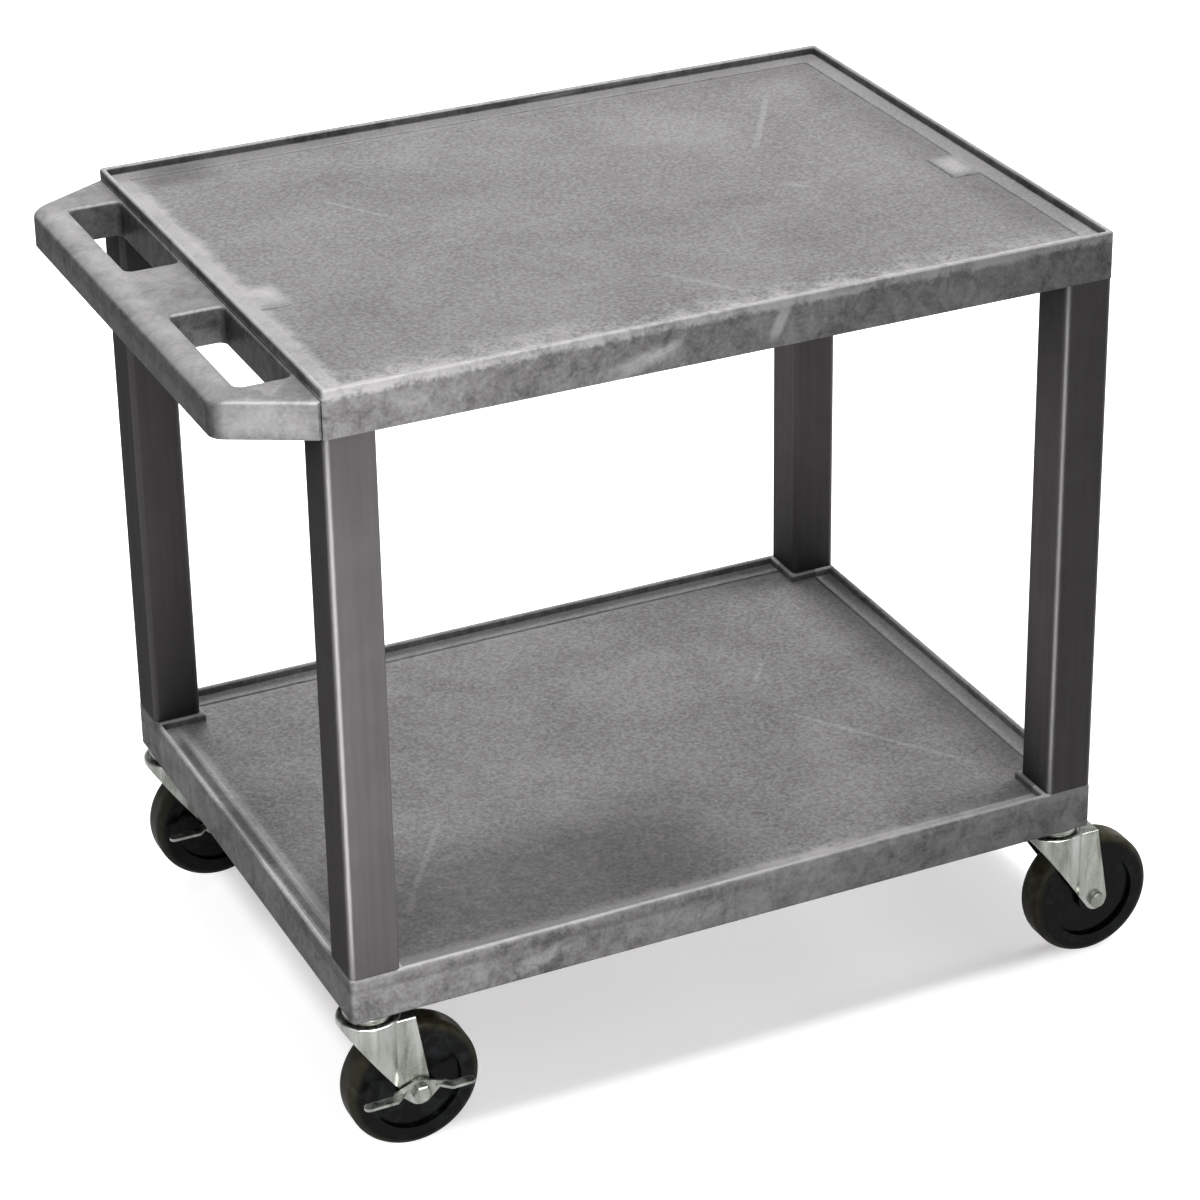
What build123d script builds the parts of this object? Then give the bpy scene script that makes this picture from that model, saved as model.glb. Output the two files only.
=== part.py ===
from build123d import *
import os

# A two-shelf utility cart on swivel casters, in millimetres. +Z is up, +X runs along the long
# side away from the push handle, and -Y is the front. The origin is on the floor, under the
# middle of the whole cart's plan box.

# Shelf mouldings
SHELF_LENGTH = 609.6
SHELF_DEPTH = 457.2
SHELF_HEIGHT = 36.0
SHELF_CORNER_RADIUS = 3.0
SKIRT_WALL = 3.5
LIP_WIDTH = 4.0
LIP_HEIGHT = 6.5
LIP_ROUND = 1.8
BORDER_WIDTH = 14.0
BORDER_STEP = 0.8
BORDER_ROUND = 0.5
PANEL_THICKNESS = 4.0
RIB_THICKNESS = 3.0
RIB_SETBACK = 6.0
RIB_HUB_SPACING = 294.0
TAB_REACH = 22.0
TAB_WIDTH = 42.0
TAB_FROM_FRONT = 182.0

# Push handle, moulded with the top shelf
HANDLE_REACH = 65.0
HANDLE_HEIGHT = 27.5
HANDLE_TAPER = 36.0
HANDLE_CORNER_RADIUS = 14.0
HANDLE_CROWN_WIDTH = 14.0
HANDLE_CROWN_DROP = 4.0
HANDLE_EDGE_ROUND = 3.5
HANDLE_WALL = 4.0
HANDLE_BAR = 23.5
HANDLE_SETBACK = 0.8
HANDLE_SEAM_WIDTH = 2.0
HANDLE_SEAM_DEPTH = 2.0
SLOT_LENGTH = 134.0
SLOT_LEDGE = 1.5
SLOT_CORNER_RADIUS = 6.0
SLOT_EDGE_ROUND = 2.5
HANDLE_WEB = 89.0

# Legs and the corner posts that take them
LEG_X = 38.0
LEG_Y = 41.0
LEG_CORNER_RADIUS = 4.5
LEG_CLEAR_HEIGHT = 421.0
LEG_WALL = 3.0
TENON_LENGTH = 22.0
COLLAR = 3.0
LEG_FIT = 0.15
TENON_END_GAP = 0.3

# Casters
CASTER_HEIGHT = 121.0
SWIVEL_LEAD = 29.5
RUNNING_FIT = 0.05
STEM_RADIUS = 5.5
STEM_LENGTH = 33.0
STEM_CHAMFER = 1.5
KINGPIN_RADIUS = 4.5
KINGPIN_HEAD_RADIUS = 8.0
KINGPIN_HEAD_HEIGHT = 2.8
KINGPIN_HEAD_ROUND = 1.4
SLEEVE_WALL = 2.5
SLEEVE_FLANGE_RADIUS = 12.0
SLEEVE_FLANGE_HEIGHT = 1.5
CAP_RADIUS = 18.6
CAP_THICKNESS = 2.0
CAP_RIM_DROP = 2.4
CAP_ROUND = 1.6
BALL_DIAMETER = 5.0
BALL_COUNT = 14
BALL_PITCH_RADIUS = 12.4
WASHER_RADIUS = 12.5
WASHER_THICKNESS = 2.0

FORK_THICKNESS = 2.5
FORK_CUP_RADIUS = 23.5
FORK_BEAD_WIDTH = 3.5
FORK_BEAD_HEIGHT = 1.6
FORK_BEAD_ROUND = 1.3
FORK_BACK_REACH = 29.5
FORK_END_RADIUS = 9.5
FORK_BEND_ROUND = 2.0

WHEEL_DIAMETER = 101.6
WHEEL_WIDTH = 28.6
WHEEL_SHOULDER_RADIUS = 8.0
WHEEL_DISH_DEPTH = 3.5
WHEEL_DISH_RADIUS = 35.0
WHEEL_DISH_ROUND = 1.6
HUB_RADIUS = 13.5
HUB_WIDTH = 32.0
HUB_SIDE_GAP = 0.4

AXLE_RADIUS = 3.95
AXLE_SLEEVE_WALL = 2.0
AXLE_HEAD_ACROSS_FLATS = 12.7
AXLE_HEAD_HEIGHT = 4.5
AXLE_HEAD_BEVEL = 0.9
AXLE_NUT_HEIGHT = 6.5
AXLE_THREAD_SHOWING = 2.0

# Brake, on the front end of the axle of the two casters under the handle
CAM_RADIUS = 9.5
CAM_THICKNESS = 1.6
LEVER_THICKNESS = 2.2
LEVER_BEND_ROUND = 1.6
LEVER_SIDE_GAP = 0.05
LEVER_HUB_RADIUS = 10.0
LEVER_ROOT = 19.0
LEVER_RISE = 4.0
LEVER_FRONT_REACH = 46.0
LEVER_BACK_REACH = 40.0
PEDAL_WIDTH = 11.5
PEDAL_END_RADIUS = 3.8
PEDAL_GAP = 9.0
PEDAL_FLARE = 12.0
PEDAL_CUP_GAP = 0.6

# Heights, from the floor up
LOWER_SHELF_Z = CASTER_HEIGHT
LEG_Z = LOWER_SHELF_Z + SHELF_HEIGHT
TOP_SHELF_Z = LEG_Z + LEG_CLEAR_HEIGHT

# Heights within one shelf, from its lower edge up
BORDER_Z = SHELF_HEIGHT - LIP_HEIGHT
PANEL_Z = BORDER_Z - BORDER_STEP
PANEL_UNDERSIDE_Z = PANEL_Z - PANEL_THICKNESS

# Corner posts and leg tenons
POST_X = LEG_X + COLLAR
POST_Y = LEG_Y + COLLAR
TENON_X = LEG_X - 2 * SKIRT_WALL
TENON_Y = LEG_Y - 2 * SKIRT_WALL
TENON_CORNER_RADIUS = LEG_CORNER_RADIUS / 2
STEM_SPACING_X = SHELF_LENGTH - LEG_X
STEM_SPACING_Y = SHELF_DEPTH - LEG_Y

# Swivel heights, from the shelf's underside down
SLEEVE_RADIUS = STEM_RADIUS + RUNNING_FIT + SLEEVE_WALL
CAP_Z = CASTER_HEIGHT - SLEEVE_FLANGE_HEIGHT
BALL_Z = CAP_Z - CAP_THICKNESS - RUNNING_FIT - BALL_DIAMETER / 2
FORK_Z = BALL_Z - BALL_DIAMETER / 2 - RUNNING_FIT
FORK_PLATE_UNDERSIDE_Z = FORK_Z - FORK_THICKNESS
WASHER_Z = FORK_PLATE_UNDERSIDE_Z - RUNNING_FIT
KINGPIN_HEAD_Z = WASHER_Z - WASHER_THICKNESS

# Stations along the axle, measured from the wheel's middle towards the front or the back
AXLE_HEIGHT = WHEEL_DIAMETER / 2
FORK_INNER = HUB_WIDTH / 2 + HUB_SIDE_GAP
FORK_OUTER = FORK_INNER + FORK_THICKNESS
LEVER_INNER = FORK_OUTER + CAM_THICKNESS + LEVER_SIDE_GAP
LEVER_OUTER = LEVER_INNER + LEVER_THICKNESS
PEDAL_OUTER = LEVER_INNER + PEDAL_WIDTH
PEDAL_RELIEF = FORK_CUP_RADIUS + PEDAL_CUP_GAP - LEVER_INNER
AXLE_BACK_END = FORK_OUTER + AXLE_NUT_HEIGHT + AXLE_THREAD_SHOWING
AXLE_SLEEVE_RADIUS = AXLE_RADIUS + RUNNING_FIT + AXLE_SLEEVE_WALL

# The shelves' middle, set so that the origin is under the middle of the plan box
HANDLE_END = SHELF_LENGTH / 2 + HANDLE_REACH
WHEEL_END = STEM_SPACING_X / 2 + SWIVEL_LEAD + WHEEL_DIAMETER / 2
FRONT_END = STEM_SPACING_Y / 2 + PEDAL_OUTER
BACK_END = max(SHELF_DEPTH / 2, STEM_SPACING_Y / 2 + AXLE_BACK_END)
MIDDLE_X = (HANDLE_END - WHEEL_END) / 2
MIDDLE_Y = (FRONT_END - BACK_END) / 2

CORNERS = {
    "front_left": (MIDDLE_X - STEM_SPACING_X / 2, MIDDLE_Y - STEM_SPACING_Y / 2, 0),
    "front_right": (MIDDLE_X + STEM_SPACING_X / 2, MIDDLE_Y - STEM_SPACING_Y / 2, 0),
    "back_left": (MIDDLE_X - STEM_SPACING_X / 2, MIDDLE_Y + STEM_SPACING_Y / 2, 0),
    "back_right": (MIDDLE_X + STEM_SPACING_X / 2, MIDDLE_Y + STEM_SPACING_Y / 2, 0),
}
BRAKED_CORNERS = ("front_left", "back_left")


def write(node, shape, place):
    """Sets a finished piece in its place on the cart and writes it under its node's name."""
    with BuildPart() as piece:
        with Locations(place):
            add(shape)
    piece.part.label = node
    export_step(piece.part, f"parts/{node}.step")


def tray_outline(inset, posts):
    """The shelf's outline drawn in by an inset, less the corner posts where they stand in it."""
    with BuildSketch() as outline:
        RectangleRounded(
            SHELF_LENGTH - 2 * inset, SHELF_DEPTH - 2 * inset, SHELF_CORNER_RADIUS
        )
        if posts:
            with GridLocations(SHELF_LENGTH - POST_X, SHELF_DEPTH - POST_Y, 2, 2):
                Rectangle(POST_X, POST_Y, mode=Mode.SUBTRACT)
    return outline.sketch


def rib_lines():
    """The ribs' middle lines: one along the shelf between two hubs, and one to each corner post."""
    hub = RIB_HUB_SPACING / 2
    post_x = STEM_SPACING_X / 2
    post_y = STEM_SPACING_Y / 2
    lines = [((-hub, 0), (hub, 0))]
    for x_side in (-1, 1):
        for y_side in (-1, 1):
            lines.append(((x_side * hub, 0), (x_side * post_x, y_side * post_y)))
    return lines


def in_panel_recess(edge):
    """Whether an edge's middle lies on or inside the outline of the recessed panel."""
    inset = LIP_WIDTH + BORDER_WIDTH - BORDER_ROUND / 2
    middle = edge.center()
    return abs(middle.X) < SHELF_LENGTH / 2 - inset and abs(middle.Y) < SHELF_DEPTH / 2 - inset


def shelf_tray(posts_above, tabs):
    """One shelf moulding: skirt, lip, border band, recessed panel, ribs and solid corner posts."""
    with BuildPart() as tray:
        with BuildSketch():
            add(tray_outline(inset=0, posts=False))
        extrude(amount=SHELF_HEIGHT)
        with BuildSketch(Plane.XY.offset(BORDER_Z)):
            add(tray_outline(LIP_WIDTH, posts_above))
        extrude(amount=LIP_HEIGHT, mode=Mode.SUBTRACT)
        with BuildSketch(Plane.XY.offset(PANEL_Z)):
            add(tray_outline(LIP_WIDTH + BORDER_WIDTH, posts_above))
            if tabs:
                tab_x = SHELF_LENGTH / 2 - LIP_WIDTH - BORDER_WIDTH - TAB_REACH / 2
                tab_y = TAB_FROM_FRONT - SHELF_DEPTH / 2
                with Locations((-tab_x, tab_y), (tab_x, tab_y)):
                    Rectangle(TAB_REACH, TAB_WIDTH, mode=Mode.SUBTRACT)
        extrude(amount=BORDER_STEP, mode=Mode.SUBTRACT)
        fillet(tray.edges().group_by(Axis.Z)[-1], LIP_ROUND)
        level = tray.edges().filter_by_position(Axis.Z, BORDER_Z, BORDER_Z)
        fillet(level.filter_by(in_panel_recess), BORDER_ROUND)
        with BuildSketch():
            add(tray_outline(SKIRT_WALL, True))
        extrude(amount=PANEL_UNDERSIDE_Z, mode=Mode.SUBTRACT)
        with BuildSketch(Plane.XY.offset(RIB_SETBACK)):
            with BuildLine():
                for start, end in rib_lines():
                    Line(start, end)
            trace(line_width=RIB_THICKNESS)
        extrude(amount=PANEL_UNDERSIDE_Z - RIB_SETBACK)
    return tray.part


def leg_sockets(plane):
    """The four square sockets that the leg tenons stand in, as one sketch on a plane."""
    with BuildSketch(plane) as sockets:
        with GridLocations(STEM_SPACING_X, STEM_SPACING_Y, 2, 2):
            RectangleRounded(
                TENON_X + 2 * LEG_FIT, TENON_Y + 2 * LEG_FIT, TENON_CORNER_RADIUS + LEG_FIT
            )
    return sockets.sketch


def handle():
    """The push handle: a tapered loop with a crowned bar, two hand slots and a seam at each end."""
    root_x = -SHELF_LENGTH / 2
    end_x = root_x - HANDLE_REACH
    root_y = SHELF_DEPTH / 2 - HANDLE_SETBACK
    end_y = SHELF_DEPTH / 2 - HANDLE_TAPER
    slot_width = HANDLE_REACH - HANDLE_BAR - SLOT_LEDGE
    slot_x = end_x + HANDLE_BAR + slot_width / 2
    slot_spacing = SLOT_LENGTH + HANDLE_WEB
    with BuildPart() as grip:
        with BuildSketch() as plan:
            with BuildLine():
                Polyline(
                    (root_x + SKIRT_WALL / 2, -root_y),
                    (root_x, -root_y),
                    (end_x, -end_y),
                    (end_x, end_y),
                    (root_x, root_y),
                    (root_x + SKIRT_WALL / 2, root_y),
                    close=True,
                )
            make_face()
            fillet(plan.vertices().group_by(Axis.X)[0], HANDLE_CORNER_RADIUS)
        extrude(amount=HANDLE_HEIGHT)
        with BuildSketch(Plane.XZ):
            with BuildLine():
                crown = (end_x + HANDLE_CROWN_WIDTH, HANDLE_HEIGHT)
                outer_edge = (end_x, HANDLE_HEIGHT - HANDLE_CROWN_DROP)
                Polyline(outer_edge, (end_x, 0), (0, 0), (0, HANDLE_HEIGHT), crown)
                TangentArc(crown, outer_edge, tangent=(-1, 0))
            make_face()
        extrude(amount=SHELF_DEPTH / 2, both=True, mode=Mode.INTERSECT)
        bar_edge = grip.edges().filter_by(Axis.Y).group_by(Axis.X)[0].sort_by(Axis.Z)[-1]
        fillet(bar_edge, HANDLE_EDGE_ROUND)
        with BuildSketch() as slots:
            with Locations((slot_x, 0)):
                with GridLocations(0, slot_spacing, 1, 2):
                    RectangleRounded(slot_width, SLOT_LENGTH, SLOT_CORNER_RADIUS)
        extrude(amount=HANDLE_HEIGHT, mode=Mode.SUBTRACT)
        deck = grip.faces().filter_by(Axis.Z).sort_by(Axis.Z)[-1]
        fillet([edge for wire in deck.inner_wires() for edge in wire.edges()], SLOT_EDGE_ROUND)
        with BuildSketch():
            with Locations((root_x - HANDLE_SEAM_WIDTH / 2, 0)):
                with GridLocations(0, 2 * root_y, 1, 2):
                    Rectangle(HANDLE_SEAM_WIDTH, 2 * HANDLE_SEAM_DEPTH)
        extrude(amount=HANDLE_HEIGHT, mode=Mode.SUBTRACT)
        with BuildSketch():
            add(plan.sketch)
            offset(amount=-HANDLE_WALL, mode=Mode.REPLACE)
            with Locations((slot_x, 0)):
                with GridLocations(0, slot_spacing, 1, 2):
                    RectangleRounded(
                        slot_width + 2 * HANDLE_WALL,
                        SLOT_LENGTH + 2 * HANDLE_WALL,
                        SLOT_CORNER_RADIUS + HANDLE_WALL,
                        mode=Mode.SUBTRACT,
                    )
        extrude(amount=HANDLE_HEIGHT - HANDLE_WALL, mode=Mode.SUBTRACT)
    return grip.part


def axle_plane(station):
    """A plane across the axle, seen from the front: x runs back along the cart and y runs up."""
    return Plane(origin=(SWIVEL_LEAD, -station, AXLE_HEIGHT), x_dir=(1, 0, 0), z_dir=(0, -1, 0))


def axle_bolt(head_station, hexagonal):
    """A bolt through fork and wheel, with a hexagon or a round head at a station to the front."""
    with BuildPart() as bolt:
        with BuildSketch(axle_plane(-AXLE_BACK_END)):
            Circle(AXLE_RADIUS)
        extrude(amount=AXLE_BACK_END + head_station)
        with BuildSketch(axle_plane(head_station)):
            if hexagonal:
                RegularPolygon(AXLE_HEAD_ACROSS_FLATS / 2, 6, major_radius=False)
            else:
                Circle(AXLE_HEAD_ACROSS_FLATS / 2)
        extrude(amount=AXLE_HEAD_HEIGHT)
        chamfer(bolt.edges().group_by(Axis.Y)[0], AXLE_HEAD_BEVEL)
    return bolt.part


os.makedirs("parts", exist_ok=True)

# Top shelf: tray, handle and the sockets that stand on the legs
with BuildPart() as top_shelf:
    add(shelf_tray(posts_above=False, tabs=True))
    add(handle())
    add(leg_sockets(Plane.XY))
    extrude(amount=TENON_LENGTH, mode=Mode.SUBTRACT)
write("top_shelf", top_shelf.part, (MIDDLE_X, MIDDLE_Y, TOP_SHELF_Z))

# Lower shelf: tray, the sockets that the legs stand in, and a hole for each grip sleeve
with BuildPart() as lower_shelf:
    add(shelf_tray(posts_above=True, tabs=False))
    add(leg_sockets(Plane.XY.offset(SHELF_HEIGHT - TENON_LENGTH)))
    extrude(amount=TENON_LENGTH, mode=Mode.SUBTRACT)
    with BuildSketch():
        with GridLocations(STEM_SPACING_X, STEM_SPACING_Y, 2, 2):
            Circle(SLEEVE_RADIUS + RUNNING_FIT)
    extrude(amount=SHELF_HEIGHT - TENON_LENGTH, mode=Mode.SUBTRACT)
write("lower_shelf", lower_shelf.part, (MIDDLE_X, MIDDLE_Y, LOWER_SHELF_Z))

# Leg: a hollow rectangular post with a smaller tenon at each end
with BuildPart() as leg:
    with BuildSketch(Plane.XY.offset(LEG_Z)):
        RectangleRounded(LEG_X, LEG_Y, LEG_CORNER_RADIUS)
    extrude(amount=LEG_CLEAR_HEIGHT)
    with BuildSketch(Plane.XY.offset(LEG_Z - TENON_LENGTH + TENON_END_GAP)):
        RectangleRounded(TENON_X, TENON_Y, TENON_CORNER_RADIUS)
    extrude(amount=LEG_CLEAR_HEIGHT + 2 * (TENON_LENGTH - TENON_END_GAP))
    with BuildSketch(Plane.XY.offset(LEG_Z - TENON_LENGTH)):
        Rectangle(TENON_X - 2 * LEG_WALL, TENON_Y - 2 * LEG_WALL)
    extrude(amount=LEG_CLEAR_HEIGHT + 2 * TENON_LENGTH, mode=Mode.SUBTRACT)

# Grip sleeve: a flanged nylon bush pressed up into the corner post
with BuildPart() as grip_sleeve:
    with BuildSketch(Plane.XY.offset(CASTER_HEIGHT)):
        Circle(SLEEVE_RADIUS)
    extrude(amount=STEM_LENGTH)
    with BuildSketch(Plane.XY.offset(CASTER_HEIGHT)):
        Circle(SLEEVE_FLANGE_RADIUS)
    extrude(amount=-SLEEVE_FLANGE_HEIGHT)
    with BuildSketch(Plane.XY.offset(CAP_Z)):
        Circle(STEM_RADIUS + RUNNING_FIT)
    extrude(amount=SLEEVE_FLANGE_HEIGHT + STEM_LENGTH, mode=Mode.SUBTRACT)

# Stem: the grip end above the cap, the kingpin below it and its riveted head
with BuildPart() as stem:
    with BuildSketch(Plane.XY.offset(CAP_Z)):
        Circle(STEM_RADIUS)
    extrude(amount=SLEEVE_FLANGE_HEIGHT + STEM_LENGTH)
    chamfer(stem.edges().group_by(Axis.Z)[-1], STEM_CHAMFER)
    with BuildSketch(Plane.XY.offset(KINGPIN_HEAD_Z)):
        Circle(KINGPIN_RADIUS)
    extrude(amount=CAP_Z - KINGPIN_HEAD_Z)
    with BuildSketch(Plane.XY.offset(KINGPIN_HEAD_Z)):
        Circle(KINGPIN_HEAD_RADIUS)
    extrude(amount=-KINGPIN_HEAD_HEIGHT)
    fillet(stem.edges().group_by(Axis.Z)[0], KINGPIN_HEAD_ROUND)

# Race cap: a pressed steel cup, rim down, that covers the balls
with BuildPart() as race_cap:
    with BuildSketch(Plane.XY.offset(CAP_Z)):
        Circle(CAP_RADIUS)
    extrude(amount=-CAP_THICKNESS - CAP_RIM_DROP)
    fillet(race_cap.edges().group_by(Axis.Z)[-1], CAP_ROUND)
    with BuildSketch(Plane.XY.offset(CAP_Z - CAP_THICKNESS)):
        Circle(CAP_RADIUS - CAP_THICKNESS)
    extrude(amount=-CAP_RIM_DROP, mode=Mode.SUBTRACT)
    with BuildSketch(Plane.XY.offset(CAP_Z)):
        Circle(KINGPIN_RADIUS + RUNNING_FIT)
    extrude(amount=-CAP_THICKNESS, mode=Mode.SUBTRACT)

# Swivel balls: a full ring, loose between the cap and the fork plate
with BuildPart() as swivel_balls:
    with Locations((0, 0, BALL_Z)):
        with PolarLocations(BALL_PITCH_RADIUS, BALL_COUNT):
            Sphere(BALL_DIAMETER / 2)

# Kingpin washer: carries the fork plate from below
with BuildPart() as kingpin_washer:
    with BuildSketch(Plane.XY.offset(WASHER_Z)):
        Circle(WASHER_RADIUS)
        Circle(KINGPIN_RADIUS + RUNNING_FIT, mode=Mode.SUBTRACT)
    extrude(amount=-WASHER_THICKNESS)

# Fork: two flat legs that run into a round cup under a beaded plate, cut away to the axle
with BuildPart() as fork:
    leg_end = SWIVEL_LEAD + FORK_END_RADIUS
    skins = (
        (FORK_CUP_RADIUS, FORK_OUTER, Mode.ADD),
        (FORK_CUP_RADIUS - FORK_THICKNESS, FORK_INNER, Mode.SUBTRACT),
    )
    with BuildSketch(Plane.XY.offset(AXLE_HEIGHT - FORK_END_RADIUS)):
        for cup_radius, half_width, mode in skins:
            Circle(cup_radius, mode=mode)
            with Locations((leg_end / 2, 0)):
                Rectangle(leg_end, 2 * half_width, mode=mode)
    extrude(amount=FORK_PLATE_UNDERSIDE_Z - AXLE_HEIGHT + FORK_END_RADIUS)
    with BuildSketch(Plane.XZ):
        with BuildLine():
            CenterArc((SWIVEL_LEAD, AXLE_HEIGHT), FORK_END_RADIUS, 0, 360)
            Line((-FORK_CUP_RADIUS, FORK_PLATE_UNDERSIDE_Z), (FORK_BACK_REACH, FORK_PLATE_UNDERSIDE_Z))
        make_hull()
    extrude(amount=FORK_CUP_RADIUS, both=True, mode=Mode.INTERSECT)
    with BuildSketch(Plane.XY.offset(FORK_PLATE_UNDERSIDE_Z)):
        Circle(FORK_CUP_RADIUS)
        with Locations((FORK_BACK_REACH / 2, 0)):
            Rectangle(FORK_BACK_REACH, 2 * FORK_OUTER)
    extrude(amount=FORK_THICKNESS)
    bends = fork.edges().filter_by(Axis.X).filter_by_position(Axis.Z, FORK_Z, FORK_Z)
    fillet(bends, FORK_BEND_ROUND)
    with BuildSketch(Plane.XY.offset(FORK_Z)):
        Circle(FORK_CUP_RADIUS)
        Circle(FORK_CUP_RADIUS - FORK_BEAD_WIDTH, mode=Mode.SUBTRACT)
    extrude(amount=FORK_BEAD_HEIGHT)
    fillet(fork.edges().group_by(Axis.Z)[-1], FORK_BEAD_ROUND)
    with BuildSketch(Plane.XY.offset(FORK_PLATE_UNDERSIDE_Z)):
        Circle(KINGPIN_RADIUS + RUNNING_FIT)
    extrude(amount=FORK_THICKNESS, mode=Mode.SUBTRACT)
    with BuildSketch(axle_plane(0)):
        Circle(AXLE_RADIUS + RUNNING_FIT)
    extrude(amount=FORK_OUTER, both=True, mode=Mode.SUBTRACT)

# Axle sleeve: a steel tube clamped between the fork legs, on which the wheel turns
with BuildPart() as axle_sleeve:
    with BuildSketch(axle_plane(-FORK_INNER)):
        Circle(AXLE_SLEEVE_RADIUS)
        Circle(AXLE_RADIUS + RUNNING_FIT, mode=Mode.SUBTRACT)
    extrude(amount=2 * FORK_INNER)

# Axle nut: behind the back fork leg
with BuildPart() as axle_nut:
    with BuildSketch(axle_plane(-FORK_OUTER)):
        RegularPolygon(AXLE_HEAD_ACROSS_FLATS / 2, 6, major_radius=False)
        Circle(AXLE_RADIUS + RUNNING_FIT, mode=Mode.SUBTRACT)
    extrude(amount=-AXLE_NUT_HEIGHT)
    rim = axle_nut.edges().group_by(Axis.Y)[-1].filter_by(GeomType.LINE)
    chamfer(rim, AXLE_HEAD_BEVEL)

# Wheel: one hard rubber moulding with a rounded tread, dished faces and a hub
with BuildPart() as wheel:
    axle_line = Axis((SWIVEL_LEAD, 0, AXLE_HEIGHT), (0, 1, 0))
    wheel_rings = (
        (AXLE_SLEEVE_RADIUS + RUNNING_FIT, HUB_RADIUS, HUB_WIDTH),
        (HUB_RADIUS, WHEEL_DISH_RADIUS, WHEEL_WIDTH - 2 * WHEEL_DISH_DEPTH),
        (WHEEL_DISH_RADIUS, WHEEL_DIAMETER / 2, WHEEL_WIDTH),
    )
    with BuildSketch(Plane(axle_line.position, x_dir=(0, 1, 0), z_dir=(1, 0, 0))) as section:
        for inner, outer, width in wheel_rings:
            with Locations((0, (inner + outer) / 2)):
                Rectangle(width, outer - inner)
        hub_row, dish_row, tread_row = section.vertices().group_by(Axis.Y)[1:]
        fillet(tread_row, WHEEL_SHOULDER_RADIUS)
        fillet(hub_row + dish_row, WHEEL_DISH_ROUND)
    revolve(axis=axle_line)

# Brake cam plate: keyed to the front fork leg, under the lever
with BuildPart() as brake_cam:
    with BuildSketch(axle_plane(FORK_OUTER)):
        Circle(CAM_RADIUS)
        Circle(AXLE_RADIUS + RUNNING_FIT, mode=Mode.SUBTRACT)
    extrude(amount=CAM_THICKNESS)

# Brake lever: a pressed plate on the axle whose upper edge turns out into two foot pedals
with BuildPart() as brake_lever:
    with BuildSketch(axle_plane(LEVER_INNER)):
        with BuildLine():
            CenterArc((0, 0), LEVER_HUB_RADIUS, 0, 360)
            Line((-LEVER_ROOT, LEVER_RISE), (LEVER_ROOT, LEVER_RISE))
        make_hull()
    extrude(amount=LEVER_THICKNESS)
    pedal_top = Plane((SWIVEL_LEAD, -LEVER_INNER, AXLE_HEIGHT + LEVER_RISE))
    for side, reach in ((-1, LEVER_FRONT_REACH), (1, LEVER_BACK_REACH)):
        with BuildSketch(pedal_top) as pedal:
            with BuildLine():
                Polyline(
                    (side * PEDAL_GAP, 0),
                    (side * LEVER_ROOT, 0),
                    (side * (LEVER_ROOT + PEDAL_RELIEF), -PEDAL_RELIEF),
                    (side * reach, -PEDAL_RELIEF),
                    (side * reach, -PEDAL_WIDTH),
                    (side * (PEDAL_GAP + PEDAL_FLARE), -PEDAL_WIDTH),
                    close=True,
                )
            make_face()
            tip = pedal.vertices().group_by(Axis.X)[0 if side < 0 else -1]
            fillet(tip, PEDAL_END_RADIUS)
        extrude(amount=-LEVER_THICKNESS)
    bends = brake_lever.edges().filter_by(Axis.X).group_by(Axis.Y)[-1]
    fillet(bends.group_by(Axis.Z)[-1], LEVER_BEND_ROUND)
    with BuildSketch(axle_plane(LEVER_INNER)):
        Circle(AXLE_RADIUS + RUNNING_FIT)
    extrude(amount=LEVER_THICKNESS, mode=Mode.SUBTRACT)

plain_bolt = axle_bolt(FORK_OUTER, hexagonal=False)
braked_bolt = axle_bolt(LEVER_OUTER + LEVER_SIDE_GAP, hexagonal=True)
for corner, place in CORNERS.items():
    braked = corner in BRAKED_CORNERS
    write(f"leg_{corner}", leg.part, place)
    write(f"grip_sleeve_{corner}", grip_sleeve.part, place)
    write(f"stem_{corner}", stem.part, place)
    write(f"race_cap_{corner}", race_cap.part, place)
    write(f"swivel_balls_{corner}", swivel_balls.part, place)
    write(f"kingpin_washer_{corner}", kingpin_washer.part, place)
    write(f"fork_{corner}", fork.part, place)
    write(f"axle_sleeve_{corner}", axle_sleeve.part, place)
    write(f"axle_bolt_{corner}", braked_bolt if braked else plain_bolt, place)
    write(f"axle_nut_{corner}", axle_nut.part, place)
    write(f"wheel_{corner}", wheel.part, place)
    if braked:
        write(f"brake_cam_{corner}", brake_cam.part, place)
        write(f"brake_lever_{corner}", brake_lever.part, place)
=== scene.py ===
import math
import bpy
from mathutils import Matrix, Vector


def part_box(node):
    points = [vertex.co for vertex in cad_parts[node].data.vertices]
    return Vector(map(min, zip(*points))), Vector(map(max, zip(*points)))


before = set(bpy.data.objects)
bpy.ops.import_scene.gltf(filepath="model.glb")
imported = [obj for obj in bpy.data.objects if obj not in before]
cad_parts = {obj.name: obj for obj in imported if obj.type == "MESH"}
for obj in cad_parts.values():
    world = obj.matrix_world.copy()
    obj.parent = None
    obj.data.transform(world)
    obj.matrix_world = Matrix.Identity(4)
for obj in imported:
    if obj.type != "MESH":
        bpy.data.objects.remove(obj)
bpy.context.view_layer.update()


# Shelves: two trays injection moulded in grey structural foam polyethylene. The push handle is part
# of the upper one. The foaming melt leaves a mottled, slightly pebbled skin with pale flow marks
# and faint sink lines over the ribs under each panel. Paler edges are partly wear and partly
# painted highlight, and painted light and shade brighten or darken some faces, hollows and patches.
def srgb(code):
    """A hex colour as linear red, green, blue and alpha."""
    values = [int(code[place:place + 2], 16) / 255 for place in (1, 3, 5)]
    return [v / 12.92 if v <= 0.04045 else ((v + 0.055) / 1.055) ** 2.4 for v in values] + [1.0]


def per_metre(size_mm):
    """The scale that gives a pattern features of this size."""
    return 1000 / size_mm


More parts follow.
